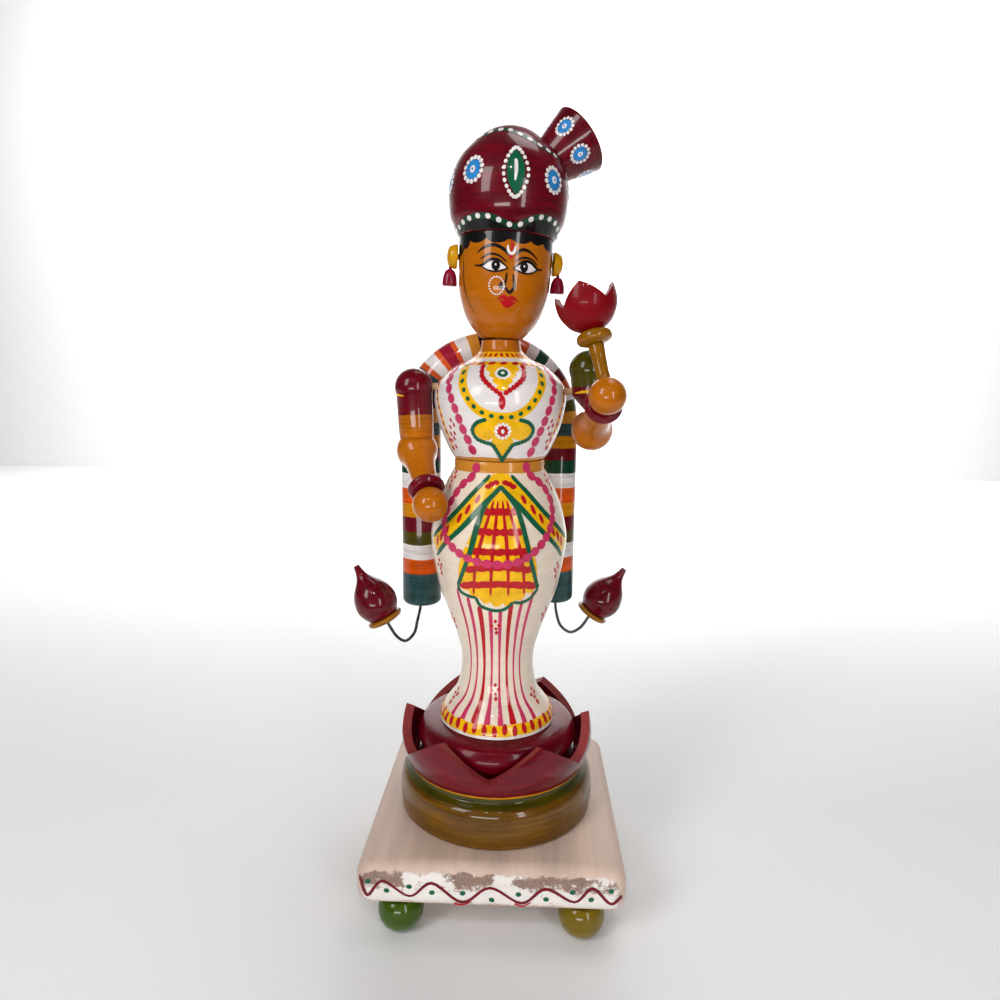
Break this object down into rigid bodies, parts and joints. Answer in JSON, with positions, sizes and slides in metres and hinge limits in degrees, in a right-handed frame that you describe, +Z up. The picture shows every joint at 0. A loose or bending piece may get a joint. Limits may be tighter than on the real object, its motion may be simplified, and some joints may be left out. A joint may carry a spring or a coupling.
{
  "type": "wooden doll on lotus stand",
  "caption": "Turned and lacquered wooden doll with turban, scarf and held lotus, on a cut lotus pedestal and footed plank; head, shoulders and elbows turn.",
  "frame": {"origin": "on the floor under the middle of the plank", "axes": "+Z up through the standing doll, -Y the way its chest faces, +X to its own left"},
  "size_m": [0.134, 0.12, 0.3536],
  "materials": {
    "plank_wood": "planed, unsealed, with a limewashed and painted front edge",
    "bare_wood": "turned, unfinished",
    "green_lacquer": "glossy shellac lacquer on turned wood",
    "olive_lacquer": "glossy translucent lacquer on turned wood",
    "maroon_lacquer": "glossy shellac lacquer on turned wood",
    "cream_paint": "satin cream paint under varnish, with painted ornament",
    "flesh_lacquer": "glossy ochre lacquer on turned wood",
    "yellow_lacquer": "glossy yellow lacquer",
    "striped_lacquer": "bands of coloured lacquer put on while turning",
    "red_paint": "brushed enamel ornament",
    "black_paint": "brushed enamel ornament",
    "wire_steel": "drawn iron wire, darkened"
  },
  "bodies": {
    "stand": {"base_plank": "plank_wood", "foot_peg_front_right": "bare_wood", "foot_peg_front_left": "bare_wood", "foot_peg_rear_right": "bare_wood", "foot_peg_rear_left": "bare_wood", "spindle": "bare_wood", "waist_peg": "bare_wood", "neck_peg": "bare_wood", "scarf_peg_right": "bare_wood", "scarf_peg_left": "bare_wood", "scarf_back_peg": "bare_wood", "shoulder_peg_right": "bare_wood", "shoulder_peg_left": "bare_wood", "foot_front_right": "green_lacquer", "foot_rear_left": "green_lacquer", "foot_front_left": "olive_lacquer", "foot_rear_right": "olive_lacquer", "plinth": "olive_lacquer", "bud_calyx_right": "olive_lacquer", "bud_calyx_left": "olive_lacquer", "lotus_bowl": "maroon_lacquer", "lotus_seat": "maroon_lacquer", "bud_right": "maroon_lacquer", "bud_left": "maroon_lacquer", "skirt": "cream_paint", "torso": "cream_paint", "scarf_arch": "striped_lacquer", "scarf_end_right": "striped_lacquer", "scarf_end_left": "striped_lacquer", "bud_wire_right": "wire_steel", "bud_wire_left": "wire_steel", "pedestal_screw": "wire_steel"},
    "head_group": {"head": "flesh_lacquer", "turban": "maroon_lacquer", "turban_knob": "maroon_lacquer", "knob_peg": "bare_wood", "ear_right": "yellow_lacquer", "ear_left": "yellow_lacquer", "earring_right": "maroon_lacquer", "earring_left": "maroon_lacquer"},
    "right_upper_arm": {"upper_arm_right": "maroon_lacquer", "elbow_pin_right": "wire_steel"},
    "left_upper_arm": {"upper_arm_left": "maroon_lacquer", "elbow_pin_left": "wire_steel"},
    "right_forearm": {"forearm_right": "flesh_lacquer", "bangle_right": "maroon_lacquer", "wrist_peg_right": "bare_wood", "hand_right": "flesh_lacquer"},
    "left_forearm": {"forearm_left": "flesh_lacquer", "bangle_left": "maroon_lacquer", "wrist_peg_left": "bare_wood", "hand_left": "flesh_lacquer", "lotus_stem": "olive_lacquer", "lotus_ring": "olive_lacquer", "hand_lotus": "maroon_lacquer"}
  },
  "joints": [
    {"name": "neck_turn", "type": "hinge", "parent": "stand", "child": "head_group", "pos_m": [0, -0.0026, 0.2552], "axis": [0.0436, 0, 0.999], "range_deg": [-60, 40]},
    {"name": "right_shoulder", "type": "hinge", "parent": "stand", "child": "right_upper_arm", "pos_m": [-0.0393, -0.0026, 0.2343], "axis": [-0.999, 0, -0.0436], "range_deg": [0, 100]},
    {"name": "right_elbow", "type": "hinge", "parent": "right_upper_arm", "child": "right_forearm", "pos_m": [-0.03804, -0.0026, 0.20553], "axis": [-0.0436, 0, 0.999], "range_deg": [-100, 5]},
    {"name": "left_shoulder", "type": "hinge", "parent": "stand", "child": "left_upper_arm", "pos_m": [0.0402, -0.0026, 0.234], "axis": [-0.9962, 0, -0.0872], "range_deg": [-20, 20]},
    {"name": "left_elbow", "type": "hinge", "parent": "left_upper_arm", "child": "left_forearm", "pos_m": [0.04177, -0.0026, 0.21607], "axis": [-0.0872, 0, 0.9962], "range_deg": [-20, 90]}
  ]
}
